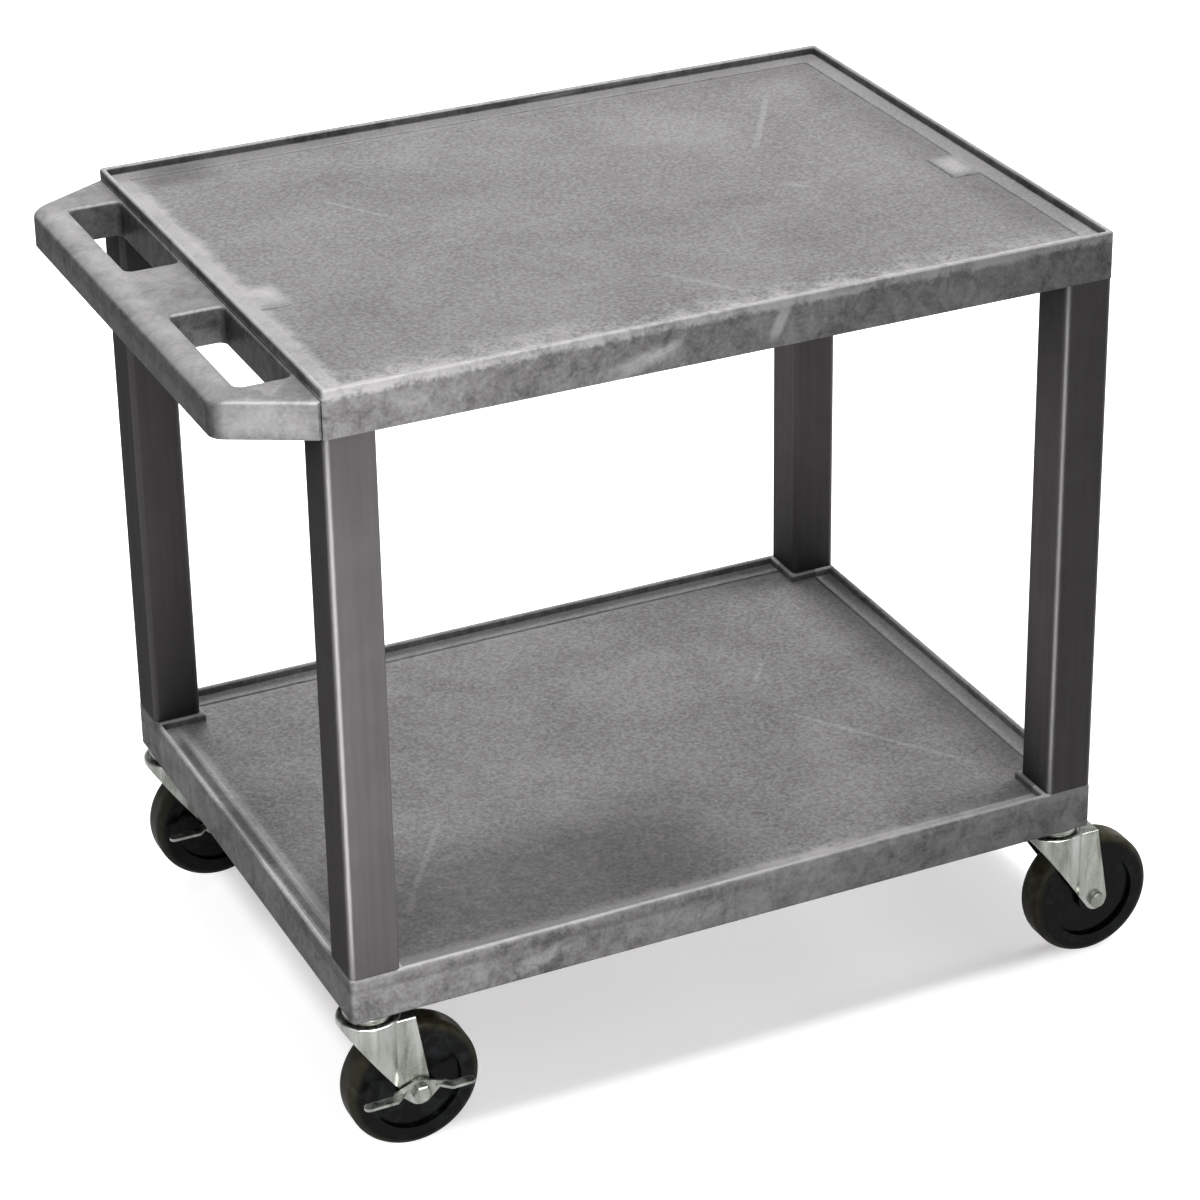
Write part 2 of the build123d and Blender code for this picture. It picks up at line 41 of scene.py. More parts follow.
def plug(tree, node, sockets):
    """Gives each socket its value, or a link where an output is given."""
    for name, value in sockets.items():
        if isinstance(value, bpy.types.NodeSocket):
            tree.links.new(value, node.inputs[name])
        else:
            node.inputs[name].default_value = value


def add_node(tree, kind, sockets, **settings):
    """Adds a node with its settings, values and links, and gives its outputs."""
    made = tree.nodes.new(kind)
    for name, value in settings.items():
        setattr(made, name, value)
    plug(tree, made, sockets)
    return made.outputs


def start_material(name):
    """A new material with its node tree and its surface shader."""
    material = bpy.data.materials.new(name)
    material.use_nodes = True
    return material, material.node_tree, material.node_tree.nodes["Principled BSDF"]


def dress(material, *node_names):
    """Gives CAD nodes a finish."""
    for name in node_names:
        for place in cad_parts[name].material_slots:
            place.material = material


def strongest(tree, marks):
    """At each spot, the strongest of several marks."""
    most = marks[0]
    for mark in marks[1:]:
        most = add_node(tree, "ShaderNodeMath", {0: most, 1: mark}, operation="MAXIMUM")[0]
    return most


def outside_plan(tree, place, middle, half):
    """How far a spot lies outside a rectangle in plan, less than nought inside it."""
    margins = []
    for axis, centre, reach in zip("XY", middle, half):
        offset = add_node(
            tree, "ShaderNodeMath", {0: place[axis], 1: centre}, operation="SUBTRACT"
        )[0]
        span = add_node(tree, "ShaderNodeMath", {0: offset}, operation="ABSOLUTE")[0]
        margins.append(
            add_node(tree, "ShaderNodeMath", {0: span, 1: reach}, operation="SUBTRACT")[0]
        )
    return strongest(tree, margins)


def stroke(tree, where, foot, start, end, faces, half_width, strength):
    """A soft mark along a line on a surface that faces one way, in mm from the tray's foot."""
    start, end = foot + Vector(start) / 1000, foot + Vector(end) / 1000
    faces, half_width = Vector(faces), half_width / 1000
    length = (end - start).length
    along = (end - start).normalized()
    fade = min(max(0.04, half_width), 0.4 * length)
    offset = add_node(
        tree, "ShaderNodeVectorMath", {0: where, 1: start}, operation="SUBTRACT"
    )["Vector"]
    gone, aside, deep = [
        add_node(
            tree, "ShaderNodeVectorMath", {0: offset, 1: axis}, operation="DOT_PRODUCT"
        )["Value"]
        for axis in (along, along.cross(faces), faces)
    ]
    far_aside, off_surface = [
        add_node(tree, "ShaderNodeMath", {0: measure}, operation="ABSOLUTE")[0]
        for measure in (aside, deep)
    ]
    mark = strength
    for measure, from_low, from_high, to_low, to_high in (
        (gone, 0.0, fade, 0.0, 1.0),
        (gone, length - fade, length, 1.0, 0.0),
        (far_aside, 0.3 * half_width, half_width, 1.0, 0.0),
        (off_surface, 0.003, 0.006, 1.0, 0.0),
    ):
        share = add_node(
            tree, "ShaderNodeMapRange",
            {0: measure, 1: from_low, 2: from_high, 3: to_low, 4: to_high},
            interpolation_type="SMOOTHSTEP",
        )[0]
        mark = add_node(tree, "ShaderNodeMath", {0: mark, 1: share}, operation="MULTIPLY")[0]
    return mark


panel_drop = 0.0073
panel_half = (0.2868, 0.2106)
border_width = 0.018
upward = (0, 0, 1)


def structural_foam(
    name, shelf, sink_lines, flow_marks_and_lit_patches, dark_patches, speckle, worn_side, edge_highlight_and_wear, handle_side_shade, step_shade
):
    """Mottled grey polyethylene for one shelf: speckled panel, patchy walls, edges paler as wear
    and painted highlight, and painted light and shade.
    """
    material, tree, shader = start_material(name)
    low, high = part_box(shelf)
    # The lower shelf has no handle, so its box gives the middle of both trays
    tray_low, tray_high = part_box("lower_shelf")
    middle = (tray_low + tray_high) / 2
    panel_z = high.z - panel_drop
    worn_from = tray_low["XYZ".index(worn_side)]
    where = add_node(tree, "ShaderNodeTexCoord", {})["Object"]
    place = add_node(tree, "ShaderNodeSeparateXYZ", {0: where})
    past = outside_plan(tree, place, middle, panel_half)
    facing = add_node(tree, "ShaderNodeNewGeometry", {})["Normal"]
    rise = add_node(tree, "ShaderNodeSeparateXYZ", {0: facing})["Z"]
    level = add_node(tree, "ShaderNodeMath", {0: rise}, operation="ABSOLUTE")[0]
    # A Map Range node takes value 0 from the range between 1 and 2 to the range between 3 and 4
    wall = add_node(tree, "ShaderNodeMapRange", {0: level, 1: 0.85, 2: 0.35, 3: 0.0, 4: 1.0})[0]
    flat = add_node(tree, "ShaderNodeMath", {0: 1.0, 1: wall}, operation="SUBTRACT")[0]
    cloud, mottle, grain = [
        add_node(
            tree, "ShaderNodeTexNoise",
            {"Vector": where, "Scale": per_metre(size_mm), "Detail": detail,
             "Roughness": roughness, "Distortion": distortion},
        )["Fac"]
        for size_mm, detail, roughness, distortion in (
            (85, 3.0, 0.5, 0.5), (15, 4.0, 0.55, 0.8), (2.8, 3.0, 0.6, 0.0),
        )
    ]
    # The panel's tone is fine grain over broad clouds, the walls' tone mostly patches
    panel_tone = add_node(
        tree, "ShaderNodeMixRGB", {"Fac": 0.3, "Color1": grain, "Color2": cloud}
    )["Color"]
    tone_reach = 0.13 / speckle
    panel_spread = add_node(
        tree, "ShaderNodeMapRange",
        {0: panel_tone, 1: 0.5 - tone_reach, 2: 0.5 + tone_reach, 3: 0.0, 4: 1.0},
    )[0]
    panel_grey = add_node(
        tree, "ShaderNodeMixRGB",
        {"Fac": panel_spread, "Color1": srgb("#7d7b7c"), "Color2": srgb("#b5b3b4")},
    )["Color"]
    patches = add_node(
        tree, "ShaderNodeMixRGB", {"Fac": 0.6, "Color1": cloud, "Color2": mottle}
    )["Color"]
    flecked = add_node(
        tree, "ShaderNodeMixRGB", {"Fac": 0.25, "Color1": patches, "Color2": grain}
    )["Color"]
    wall_spread = add_node(
        tree, "ShaderNodeMapRange", {0: flecked, 1: 0.37, 2: 0.63, 3: 0.0, 4: 1.0}
    )[0]
    wall_grey = add_node(
        tree, "ShaderNodeMixRGB",
        {"Fac": wall_spread, "Color1": srgb("#6b696a"), "Color2": srgb("#b6b4b5")},
    )["Color"]
    within = add_node(
        tree, "ShaderNodeMapRange",
        {0: past, 1: border_width - 0.0005, 2: border_width + 0.0005, 3: 1.0, 4: 0.0},
    )[0]
    beyond = add_node(tree, "ShaderNodeMath", {0: 1.0, 1: within}, operation="SUBTRACT")[0]
    grey = add_node(
        tree, "ShaderNodeMixRGB",
        {"Fac": strongest(tree, [wall, beyond]), "Color1": panel_grey, "Color2": wall_grey},
    )["Color"]
    # Border band: the raised strip round the panel, worn paler in patches by goods that slide over
    # it, most of all along one side. Level faces outside the border, mostly the handle's top, get
    # painted light: paler, as if lit from above
    ragged_past = add_node(
        tree, "ShaderNodeMath", {0: mottle, 1: 0.014, 2: past}, operation="MULTIPLY_ADD"
    )[0]
    raised = add_node(
        tree, "ShaderNodeMapRange", {0: ragged_past, 1: -0.003, 2: 0.008, 3: 0.0, 4: 1.0},
        interpolation_type="SMOOTHSTEP",
    )[0]
    worn = add_node(tree, "ShaderNodeMapRange", {0: flecked, 1: 0.36, 2: 0.56, 3: 0.5, 4: 1.0})[0]
    to_worn_side = add_node(
        tree, "ShaderNodeMapRange",
        {0: place[worn_side], 1: worn_from + 0.02, 2: worn_from + 0.05, 3: 1.0, 4: 0.35},
    )[0]
    band = flat
    for share in (raised, worn, to_worn_side, within):
        band = add_node(tree, "ShaderNodeMath", {0: band, 1: share}, operation="MULTIPLY")[0]
    level_outside_border = add_node(tree, "ShaderNodeMath", {0: beyond, 1: flat}, operation="MULTIPLY")[0]
    painted_lit_top = add_node(tree, "ShaderNodeMath", {0: level_outside_border, 1: 0.3}, operation="MULTIPLY")[0]
    coloured = add_node(
        tree, "ShaderNodeMixRGB",
        {"Fac": strongest(tree, [band, painted_lit_top]), "Color1": grey, "Color2": srgb("#cccacb")},
    )["Color"]
    # Paler lip and edges: its crown a little all round, and as painted highlight with some wear,
    # every rounded edge that faces front and up and, along the front, a ragged strip below the lip
    crown = add_node(
        tree, "ShaderNodeMapRange",
        {0: place["Z"], 1: high.z - 0.0016, 2: high.z - 0.0004, 3: 0.0, 4: 0.15},
    )[0]
    ragged = add_node(
        tree, "ShaderNodeMath", {0: flecked, 1: 0.016, 2: place["Z"]}, operation="MULTIPLY_ADD"
    )[0]
    strip = add_node(
        tree, "ShaderNodeMapRange",
        {0: ragged, 1: high.z - 0.0005, 2: high.z + 0.003, 3: 0.0, 4: 0.85 * edge_highlight_and_wear},
    )[0]
    at_front = add_node(
        tree, "ShaderNodeMapRange",
        {0: place["Y"], 1: low.y + 0.05, 2: low.y + 0.02, 3: 0.0, 4: 1.0},
    )[0]
    front_strip_highlight = add_node(tree, "ShaderNodeMath", {0: strip, 1: at_front}, operation="MULTIPLY")[0]
    slope = add_node(
        tree, "ShaderNodeVectorMath", {0: facing, 1: (0, -0.7, 0.7)}, operation="DOT_PRODUCT"
    )["Value"]
    front_edge_highlight = add_node(
        tree, "ShaderNodeMapRange", {0: slope, 1: 0.8, 2: 0.93, 3: 0.0, 4: edge_highlight_and_wear}
    )[0]
    lip_highlight_and_wear = strongest(tree, [crown, front_strip_highlight, front_edge_highlight])
    in_flecks = add_node(
        tree, "ShaderNodeMapRange", {0: wall_spread, 1: 0.1, 2: 0.7, 3: 0.45, 4: 1.1}
    )[0]
    lip_highlight_and_wear_flecked = add_node(
        tree, "ShaderNodeMath", {0: lip_highlight_and_wear, 1: in_flecks}, operation="MULTIPLY"
    )[0]
    coloured = add_node(
        tree, "ShaderNodeMixRGB",
        {"Fac": lip_highlight_and_wear_flecked, "Color1": coloured, "Color2": srgb("#e2e0e1")},
    )["Color"]
    # Sink lines are furrows over the ribs and flow marks pale folds of the melt; some flow marks
    # are painted light over a whole face, and the dark patches darken the panel, some as painted
    # shade
    foot = Vector((middle.x, middle.y, low.z))
    panel_rise = (panel_z - low.z) * 1000
    furrow = strongest(tree, [
        stroke(tree, where, foot, (*start, panel_rise), (*end, panel_rise), upward, 3.5, 0.4)
        for start, end in sink_lines
    ])
    folds_and_painted_light = strongest(tree, [stroke(tree, where, foot, *mark) for mark in flow_marks_and_lit_patches])
    dark_patch = strongest(tree, [
        stroke(tree, where, foot, (*start, panel_rise), (*end, panel_rise), upward, *extent)
        for start, end, *extent in dark_patches
    ])
    # Painted shade darkens the panel along the foot of the border's step towards the far end
    step_shade_ramp = add_node(
        tree, "ShaderNodeMapRange", {0: past, 1: -0.042, 2: 0.0, 3: 0.0, 4: step_shade}
    )[0]
    inside = add_node(
        tree, "ShaderNodeMapRange", {0: past, 1: -0.001, 2: 0.001, 3: 1.0, 4: 0.0}
    )[0]
    far_end = add_node(
        tree, "ShaderNodeMapRange",
        {0: place["X"], 1: middle.x + 0.1, 2: middle.x + 0.26, 3: 0.0, 4: 1.0},
    )[0]
    far_step_shade = step_shade_ramp
    for share in (inside, far_end):
        far_step_shade = add_node(tree, "ShaderNodeMath", {0: far_step_shade, 1: share}, operation="MULTIPLY")[0]
    for mark, texture, colour in (
        (far_step_shade, mottle, "#3e3c3d"),
        (furrow, panel_spread, "#cfcdce"),
        (folds_and_painted_light, wall_spread, "#dad8d9"),
        (dark_patch, mottle, "#3e3c3d"),
    ):
        thinned = add_node(
            tree, "ShaderNodeMapRange", {0: texture, 1: 0.0, 2: 1.0, 3: 0.4, 4: 1.0}
        )[0]
        faded = add_node(tree, "ShaderNodeMath", {0: mark, 1: thinned}, operation="MULTIPLY")[0]
        coloured = add_node(
            tree, "ShaderNodeMixRGB", {"Fac": faded, "Color1": coloured, "Color2": srgb(colour)}
        )["Color"]
    # Painted shade darkens hollows, such as the foot of the lip and the ribbed underside, and the
    # faces turned to the handle's side. The low step between panel and border is left unshaded
    open_share = add_node(
        tree, "ShaderNodeAmbientOcclusion", {"Distance": 0.05}, samples=8, only_local=True
    )["AO"]
    closed = add_node(
        tree, "ShaderNodeMapRange", {0: open_share, 1: 0.4, 2: 0.85, 3: 0.75, 4: 0.0}
    )[0]
    standing = add_node(tree, "ShaderNodeMapRange", {0: wall, 1: 0.0, 2: 1.0, 3: 0.25, 4: 1.0})[0]
    reached = add_node(tree, "ShaderNodeMath", {0: closed, 1: standing}, operation="MULTIPLY")[0]
    unshaded = add_node(tree, "ShaderNodeMath", {0: 1.0, 1: reached}, operation="SUBTRACT")[0]
    to_handle = add_node(
        tree, "ShaderNodeVectorMath", {0: facing, 1: (-1, 0, 0)}, operation="DOT_PRODUCT"
    )["Value"]
    left_facing_unshaded = add_node(
        tree, "ShaderNodeMapRange", {0: to_handle, 1: 0.5, 2: 0.95, 3: 1.0, 4: 1.0 - handle_side_shade}
    )[0]
    unshaded_share = add_node(tree, "ShaderNodeMath", {0: unshaded, 1: left_facing_unshaded}, operation="MULTIPLY")[0]
    from_step = add_node(
        tree, "ShaderNodeMath", {0: place["Z"], 1: panel_z + 0.0004}, operation="SUBTRACT"
    )[0]
    off_step = add_node(tree, "ShaderNodeMath", {0: from_step}, operation="ABSOLUTE")[0]
    on_step = add_node(
        tree, "ShaderNodeMapRange", {0: off_step, 1: 0.0006, 2: 0.0012, 3: 1.0, 4: 0.0}
    )[0]
    with_painted_shade = add_node(
        tree, "ShaderNodeMixRGB",
        {"Fac": strongest(tree, [unshaded_share, on_step]), "Color1": srgb("#1c1b1b"), "Color2": coloured},
    )["Color"]
    # Skin height in millimetres: pebbled grain, broad unevenness and the furrows
    skin = 0.0
    for pattern, height_mm in ((grain, 0.22), (mottle, 0.25), (furrow, 0.3)):
        skin = add_node(
            tree, "ShaderNodeMath", {0: pattern, 1: height_mm, 2: skin}, operation="MULTIPLY_ADD"
        )[0]
    # The moulded edges are a little rounder than the solid's
    softened = add_node(tree, "ShaderNodeBevel", {"Radius": 0.0025}, samples=6)["Normal"]
    relief = add_node(
        tree, "ShaderNodeBump", {"Height": skin, "Distance": 0.001, "Normal": softened}
    )["Normal"]
    sheen = add_node(tree, "ShaderNodeMapRange", {0: mottle, 1: 0.3, 2: 0.7, 3: 0.5, 4: 0.62})[0]
    plug(tree, shader, {
        "Base Color": with_painted_shade, "Normal": relief, "Roughness": sheen,
        "IOR": 1.53, "Specular IOR Level": 0.0,
        "Coat Weight": 0.12, "Coat Roughness": 0.32, "Coat IOR": 1.53, "Coat Normal": softened,
    })
    return material


# Marks are in mm from the middle of a tray's foot. Each has a start and an end, a flow mark also
# has the way that its surface faces, and flow marks and dark patches have a half width and a
# strength
front, left_end, handle_corner = (0, -1, 0), (-1, 0, 0), (-0.476, -0.879, 0)
dress(
    structural_foam(
        "structural_foam_top", "top_shelf",
        sink_lines=[
            ((156, 47), (230, 167)),
            ((-131, 37), (-189, 128)),
            ((145, -17), (163, -38)),
            ((-21, -121), (40, -210)),
        ],
        flow_marks_and_lit_patches=[
            ((-108, -228.6, 0), (-36, -228.6, 19), front, 9, 0.9),
            ((-84, -228.6, 5), (-36, -228.6, 21), front, 5, 1.3),
            ((26, -228.6, 2), (41, -228.6, 33), front, 6, 1.3),
            # Painted light: a streak and the whole of the handle's near end painted paler
            ((-354, -201, 3), (-316, -222, 13), handle_corner, 6, 0.8),
            ((-380, -187, 15), (-296, -232, 15), handle_corner, 22, 0.8),
            ((38, 224.6, 30.5), (100, 224.6, 33.5), front, 2.2, 1.0),
            ((98, 224.6, 33), (168, 224.6, 34.5), front, 1.8, 0.9),
            ((262, -46.6, 29.5), (292, -46.6, 29.5), upward, 24, 0.9),
            ((-292, -46.6, 29.5), (-258, -46.6, 29.5), upward, 24, 1.0),
            # Painted light: the handle bar's top painted paler along its middle, and its outer side
            # low down
            ((-357, -200, 27.5), (-357, 200, 27.5), upward, 13, 0.5),
            ((-369.8, 190, 4), (-369.8, -190, 4), left_end, 11, 0.6),
        ],
        dark_patches=[((-300, 206), (-205, 206), 30, 0.55)],
        speckle=0.65, worn_side="X", edge_highlight_and_wear=0.9, handle_side_shade=0.45, step_shade=0.4,
    ),
    "top_shelf",
)
dress(
    structural_foam(
        "structural_foam_lower", "lower_shelf",
        sink_lines=[
            ((154, -11), (256, -159)),
            ((-147, -25), (-236, -158)),
            ((183, 82), (146, 30)),
        ],
        flow_marks_and_lit_patches=[
            ((-285, 185, 29.5), (-284, -205, 29.5), upward, 5, 0.6),
            ((-190, -228.6, 4), (-130, -228.6, 22), front, 8, 0.7),
            ((-40, -228.6, 6), (-5, -228.6, 24), front, 7, 0.6),
            # Painted light: wide pale bands over the lower shelf's front and left walls
            ((-90, -228.6, 16), (320, -228.6, 16), front, 28, 0.3),
            ((-304.8, 240, 16), (-304.8, -240, 16), left_end, 28, 0.3),
        ],
        # Painted shade: a dark patch over the front left of the panel and a dark line along the
        # left lip's foot
        dark_patches=[((-370, -170), (80, -150), 110, 0.7), ((-294, 190), (-293, -215), 5, 1.0)],
        speckle=0.75, worn_side="Y", edge_highlight_and_wear=0.36, handle_side_shade=0.0, step_shade=0.85,
    ),
    "lower_shelf",
)


# Legs: hollow posts extruded in charcoal rigid vinyl, cut to length and pushed into the shelves'
# corner sockets. The die leaves a smooth satin skin with fine streaks along the post, painted shade
# darkens each post where it meets a shelf, and the rounded corners are rubbed to a shine.
def extruded_vinyl():
    """Charcoal vinyl: satin, with streaks a few millimetres wide drawn out along the post."""
    material, tree, shader = start_material("extruded_vinyl_charcoal")
    coordinates = add_node(tree, "ShaderNodeTexCoord", {})
    where, facing = coordinates["Object"], coordinates["Normal"]
    drawn = add_node(
        tree, "ShaderNodeMapping",
        {"Vector": where, "Scale": (per_metre(4), per_metre(4), per_metre(160))},
    )["Vector"]
    streak = add_node(
        tree, "ShaderNodeTexNoise", {"Vector": drawn, "Scale": 1.0, "Detail": 3.0, "Roughness": 0.6}
    )["Fac"]
    ripple = add_node(
        tree, "ShaderNodeTexNoise", {"Vector": where, "Scale": per_metre(22), "Detail": 2.0}
    )["Fac"]
    tone = add_node(
        tree, "ShaderNodeMixRGB", {"Fac": 0.4, "Color1": streak, "Color2": ripple}
    )["Color"]
    spread = add_node(tree, "ShaderNodeMapRange", {0: tone, 1: 0.35, 2: 0.65, 3: 0.0, 4: 1.0})[0]
    grey = add_node(
        tree, "ShaderNodeMixRGB",
        {"Fac": spread, "Color1": srgb("#666364"), "Color2": srgb("#6f6c6d")},
    )["Color"]
    # Painted shade: darker towards the shelves above and below, where little light reaches
    open_share = add_node(tree, "ShaderNodeAmbientOcclusion", {"Distance": 0.16}, samples=8)["AO"]
    unshaded = add_node(
        tree, "ShaderNodeMapRange", {0: open_share, 1: 0.5, 2: 1.0, 3: 0.05, 4: 1.0}
    )[0]
    with_painted_shade = add_node(
        tree, "ShaderNodeMixRGB", {"Fac": unshaded, "Color1": srgb("#1c1b1b"), "Color2": grey}
    )["Color"]
    # A rounded corner faces partly along both X and Y
    sides = add_node(tree, "ShaderNodeSeparateXYZ", {0: facing})
    skew = add_node(
        tree, "ShaderNodeMath", {0: sides["X"], 1: sides["Y"]}, operation="MULTIPLY"
    )[0]
    rounded = add_node(tree, "ShaderNodeMath", {0: skew}, operation="ABSOLUTE")[0]
    polish = add_node(
        tree, "ShaderNodeMapRange", {0: rounded, 1: 0.05, 2: 0.3, 3: 0.03, 4: 0.3}
    )[0]
    sheen = add_node(tree, "ShaderNodeMapRange", {0: spread, 1: 0.0, 2: 1.0, 3: 0.34, 4: 0.42})[0]
    relief = add_node(tree, "ShaderNodeBump", {"Height": spread, "Distance": 0.00004})["Normal"]
    plug(tree, shader, {
        "Base Color": with_painted_shade, "Normal": relief, "Roughness": sheen,
        "IOR": 1.54, "Specular IOR Level": 0.0,
        "Coat Weight": polish, "Coat Roughness": 0.36, "Coat IOR": 1.54,
    })
    return material


corners = ("front_left", "front_right", "back_left", "back_right")
dress(extruded_vinyl(), *[f"leg_{corner}" for corner in corners])


# Grip sleeves: flanged bushes moulded in dark nylon and pressed up into the lower corner posts.
# Only the flange shows, as a thin dull ring between the caster and the shelf.
def moulded_nylon():
    """Dark nylon: a dull, slightly cloudy moulded skin."""
    material, tree, shader = start_material("moulded_nylon")
    where = add_node(tree, "ShaderNodeTexCoord", {})["Object"]
    haze = add_node(
        tree, "ShaderNodeTexNoise", {"Vector": where, "Scale": per_metre(5), "Detail": 2.0}
    )["Fac"]
    grey = add_node(
        tree, "ShaderNodeMixRGB",
        {"Fac": haze, "Color1": srgb("#2b2a2a"), "Color2": srgb("#403e3d")},
    )["Color"]
    plug(tree, shader, {"Base Color": grey, "Roughness": 0.55, "IOR": 1.53})
    return material


dress(moulded_nylon(), *[f"grip_sleeve_{corner}" for corner in corners])


# Caster steel: stem, race cap, washer, fork, axle sleeve, bolt, nut, brake cam and lever. They are
# pressed or turned in mild steel, then bright zinc plated and passivated, which leaves a silvery
# skin with a faint olive cast, cloudy patches and fine handling marks.
def zinc_plate():
    """Passivated zinc: a soft metallic shine that clouds over in patches."""
    material, tree, shader = start_material("zinc_plate_passivated")
    where = add_node(tree, "ShaderNodeTexCoord", {})["Object"]
    drawn = add_node(
        tree, "ShaderNodeMapping",
        {"Vector": where, "Scale": (per_metre(9), per_metre(9), per_metre(45))},
    )["Vector"]
    cloud = add_node(
        tree, "ShaderNodeTexNoise",
        {"Vector": drawn, "Scale": 1.0, "Detail": 3.0, "Distortion": 0.4},
    )["Fac"]
    spangle = add_node(
        tree, "ShaderNodeTexNoise", {"Vector": where, "Scale": per_metre(1.6), "Detail": 2.0}
    )["Fac"]
    tone = add_node(
        tree, "ShaderNodeMixRGB", {"Fac": 0.15, "Color1": cloud, "Color2": spangle}
    )["Color"]
    spread = add_node(tree, "ShaderNodeMapRange", {0: tone, 1: 0.35, 2: 0.65, 3: 0.0, 4: 1.0})[0]
    silver = add_node(
        tree, "ShaderNodeMixRGB",
        {"Fac": spread, "Color1": srgb("#666962"), "Color2": srgb("#969994")},
    )["Color"]
    shine = add_node(tree, "ShaderNodeMapRange", {0: spread, 1: 0.0, 2: 1.0, 3: 0.24, 4: 0.36})[0]
    relief = add_node(tree, "ShaderNodeBump", {"Height": tone, "Distance": 0.00006})["Normal"]
    plug(tree, shader, {
        "Base Color": silver, "Normal": relief, "Roughness": shine, "Metallic": 1.0,
    })
    return material


plated = ("stem", "race_cap", "kingpin_washer", "fork", "axle_sleeve", "axle_bolt", "axle_nut")
braked_corners = ("front_left", "back_left")
dress(
    zinc_plate(),
    *[f"{piece}_{corner}" for piece in plated for corner in corners],
    *[f"{piece}_{corner}" for piece in ("brake_cam", "brake_lever") for corner in braked_corners],
)


# Swivel balls: ground and polished bearing steel, greased, in the ring between cap and fork.
# What shows through the gap is a row of dark mirror-like beads.
def bearing_steel():
    """Polished steel under a film of grease."""
    material, tree, shader = start_material("bearing_steel_greased")
    where = add_node(tree, "ShaderNodeTexCoord", {})["Object"]
    film = add_node(
        tree, "ShaderNodeTexNoise", {"Vector": where, "Scale": per_metre(2), "Detail": 2.0}
    )["Fac"]
    steel = add_node(
        tree, "ShaderNodeMixRGB",
        {"Fac": film, "Color1": srgb("#8b8983"), "Color2": srgb("#c2c1bd")},
    )["Color"]
    shine = add_node(tree, "ShaderNodeMapRange", {0: film, 1: 0.3, 2: 0.7, 3: 0.08, 4: 0.25})[0]
    plug(tree, shader, {"Base Color": steel, "Roughness": shine, "Metallic": 1.0})
    return material


dress(bearing_steel(), *[f"swivel_balls_{corner}" for corner in corners])


# Wheels: solid hard rubber, compression moulded with a dished face and a rounded tread. The
# moulding flow shows as a soft cloudy gloss with bluish painted reflections in the clouds, and the
# tread carries a brownish painted reflection.
def hard_rubber():
    """Black hard rubber: half gloss, with bluish painted reflections in clouds and a brownish
    painted reflection on the tread.
    """
    material, tree, shader = start_material("hard_rubber_black")
    coordinates = add_node(tree, "ShaderNodeTexCoord", {})
    where, in_box = coordinates["Object"], coordinates["Generated"]
    cloud = add_node(
        tree, "ShaderNodeTexNoise",
        {"Vector": where, "Scale": per_metre(18), "Detail": 4.0, "Distortion": 1.2},
    )["Fac"]
    grit = add_node(
        tree, "ShaderNodeTexNoise", {"Vector": where, "Scale": per_metre(0.9), "Detail": 2.0}
    )["Fac"]
    black = add_node(
        tree, "ShaderNodeMixRGB",
        {"Fac": cloud, "Color1": srgb("#060707"), "Color2": srgb("#0e0e0b")},
    )["Color"]
    # Painted reflections: bluish clouds on the faces
    painted_glint = add_node(tree, "ShaderNodeMapRange", {0: cloud, 1: 0.5, 2: 0.8, 3: 0.0, 4: 0.6})[0]
    with_painted_glints = add_node(
        tree, "ShaderNodeMixRGB", {"Fac": painted_glint, "Color1": black, "Color2": srgb("#353d41")}
    )["Color"]
    # The wheel's own box gives the radius as a share, 0 at the axle and 1 on the tread
    from_axle = add_node(
        tree, "ShaderNodeVectorMath", {0: in_box, 1: (2, 0, 2), 2: (-1, 0, -1)},
        operation="MULTIPLY_ADD",
    )["Vector"]
    radius = add_node(tree, "ShaderNodeVectorMath", {0: from_axle}, operation="LENGTH")["Value"]
    tread = add_node(
        tree, "ShaderNodeMapRange", {0: radius, 1: 0.86, 2: 0.97, 3: 0.0, 4: 0.9},
        interpolation_type="SMOOTHSTEP",
    )[0]
    # Painted reflection: a brownish tint in clouds on the tread
    tread_reflection = add_node(tree, "ShaderNodeMath", {0: tread, 1: cloud}, operation="MULTIPLY")[0]
    with_tread_reflection = add_node(
        tree, "ShaderNodeMixRGB", {"Fac": tread_reflection, "Color1": with_painted_glints, "Color2": srgb("#55523f")}
    )["Color"]
    gloss = add_node(tree, "ShaderNodeMapRange", {0: cloud, 1: 0.3, 2: 0.7, 3: 0.26, 4: 0.42})[0]
    skin = add_node(
        tree, "ShaderNodeMixRGB", {"Fac": 0.25, "Color1": cloud, "Color2": grit}
    )["Color"]
    relief = add_node(tree, "ShaderNodeBump", {"Height": skin, "Distance": 0.0003})["Normal"]
    plug(tree, shader, {
        "Base Color": with_tread_reflection, "Normal": relief, "Roughness": gloss,
        "IOR": 1.52, "Specular IOR Level": 0.0,
        "Coat Weight": 0.15, "Coat Roughness": 0.16, "Coat IOR": 1.52, "Coat Normal": relief,
    })
    return material


dress(hard_rubber(), *[f"wheel_{corner}" for corner in corners])


# Stage: a plain white studio floor without an end in sight, with a painted shadow under the cart:
# a soft-edged greyer rectangle, darker towards the far end. The floor also keeps the cart's own
# shadow, and camera and mirror surfaces see it white.
def add_mesh(name, points, faces):
    """A mesh object from its points and faces."""
    mesh = bpy.data.meshes.new(name)
    mesh.from_pydata(points, [], faces)
    piece = bpy.data.objects.new(name, mesh)
    bpy.context.scene.collection.objects.link(piece)
    return piece


def seen_directly(tree):
    """One where a ray comes from the camera, a mirror surface or glass, else nought."""
    path = add_node(tree, "ShaderNodeLightPath", {})
    return strongest(
        tree, [path[f"Is {kind} Ray"] for kind in ("Camera", "Glossy", "Transmission")]
    )


floor_half = 12.0
floor = add_mesh(
    "studio_floor",
    [(x * floor_half, y * floor_half, 0) for x, y in ((-1, -1), (1, -1), (1, 1), (-1, 1))],
    [(0, 1, 2, 3)],
)

